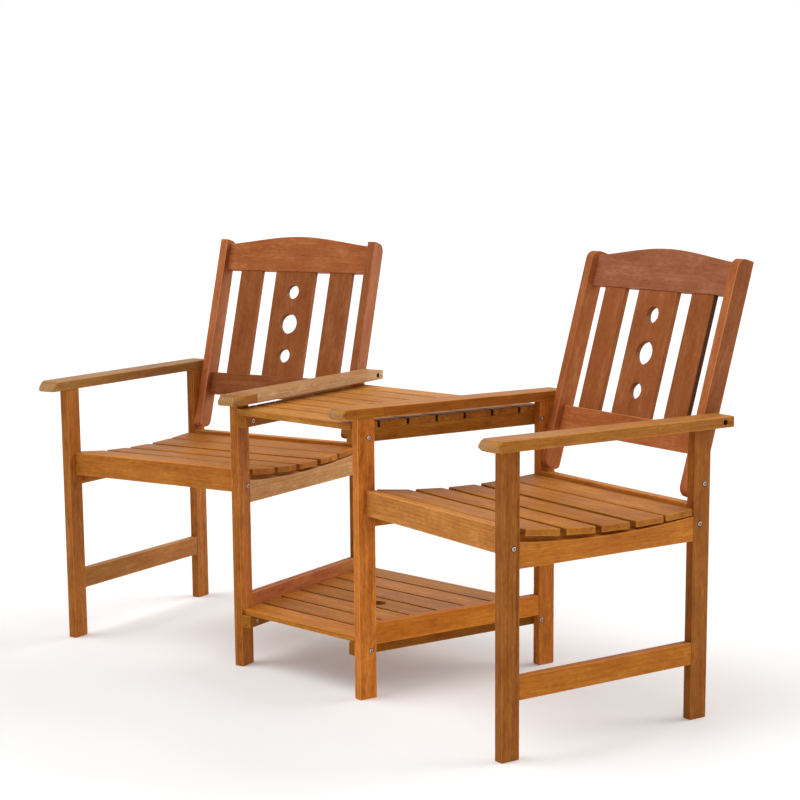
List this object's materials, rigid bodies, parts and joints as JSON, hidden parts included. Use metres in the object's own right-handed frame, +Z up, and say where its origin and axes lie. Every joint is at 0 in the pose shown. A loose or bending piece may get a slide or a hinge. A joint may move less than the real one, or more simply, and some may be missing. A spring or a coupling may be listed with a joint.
{
  "type": "outdoor bench",
  "caption": "Wooden companion bench for a garden: slatted armchairs turned slightly inward, joined by a wedge-shaped slatted table with a shelf below it.",
  "frame": {"origin": "on the ground, under the middle of the bench's overall width and depth", "axes": "+X to the right of someone who looks at the bench from in front, along its whole width; +Y from front to back; +Z up"},
  "size_m": [1.6652, 0.7772, 0.925],
  "materials": {
    "table_wood": "oiled hardwood, satin, reddish-orange stain",
    "leg_wood": "oiled hardwood, satin, reddish-orange stain",
    "arm_wood": "oiled hardwood, satin, reddish-orange stain",
    "seat_wood": "oiled hardwood, satin, reddish-orange stain",
    "back_wood": "oiled hardwood, satin, reddish-orange stain",
    "rail_wood": "oiled hardwood, satin, reddish-orange stain"
  },
  "bodies": {
    "root": {"left_crest_rail": "back_wood", "left_front_rail": "rail_wood", "left_inner_arm": "arm_wood", "left_inner_back_slat": "back_wood", "left_inner_back_stile": "back_wood", "left_inner_front_leg": "leg_wood", "left_inner_rear_leg": "leg_wood", "left_inner_side_rail": "rail_wood", "left_inner_stretcher": "rail_wood", "left_lower_back_rail": "back_wood", "left_outer_arm": "arm_wood", "left_outer_back_slat": "back_wood", "left_outer_back_stile": "back_wood", "left_outer_front_leg": "leg_wood", "left_outer_rear_leg": "leg_wood", "left_outer_side_rail": "rail_wood", "left_outer_stretcher": "rail_wood", "left_rear_rail": "rail_wood", "left_seat_slat_1": "seat_wood", "left_seat_slat_2": "seat_wood", "left_seat_slat_3": "seat_wood", "left_seat_slat_4": "seat_wood", "left_seat_slat_5": "seat_wood", "left_splat": "back_wood", "right_crest_rail": "back_wood", "right_front_rail": "rail_wood", "right_inner_arm": "arm_wood", "right_inner_back_slat": "back_wood", "right_inner_back_stile": "back_wood", "right_inner_front_leg": "leg_wood", "right_inner_rear_leg": "leg_wood", "right_inner_side_rail": "rail_wood", "right_inner_stretcher": "rail_wood", "right_lower_back_rail": "back_wood", "right_outer_arm": "arm_wood", "right_outer_back_slat": "back_wood", "right_outer_back_stile": "back_wood", "right_outer_front_leg": "leg_wood", "right_outer_rear_leg": "leg_wood", "right_outer_side_rail": "rail_wood", "right_outer_stretcher": "rail_wood", "right_rear_rail": "rail_wood", "right_seat_slat_1": "seat_wood", "right_seat_slat_2": "seat_wood", "right_seat_slat_3": "seat_wood", "right_seat_slat_4": "seat_wood", "right_seat_slat_5": "seat_wood", "right_splat": "back_wood", "shelf_panel": "table_wood", "table_apron_left": "table_wood", "table_apron_right": "table_wood", "table_slat_1": "table_wood", "table_slat_2": "table_wood", "table_slat_3": "table_wood", "table_slat_4": "table_wood", "table_slat_5": "table_wood", "table_slat_6": "table_wood", "table_slat_7": "table_wood"}
  },
  "joints": []
}
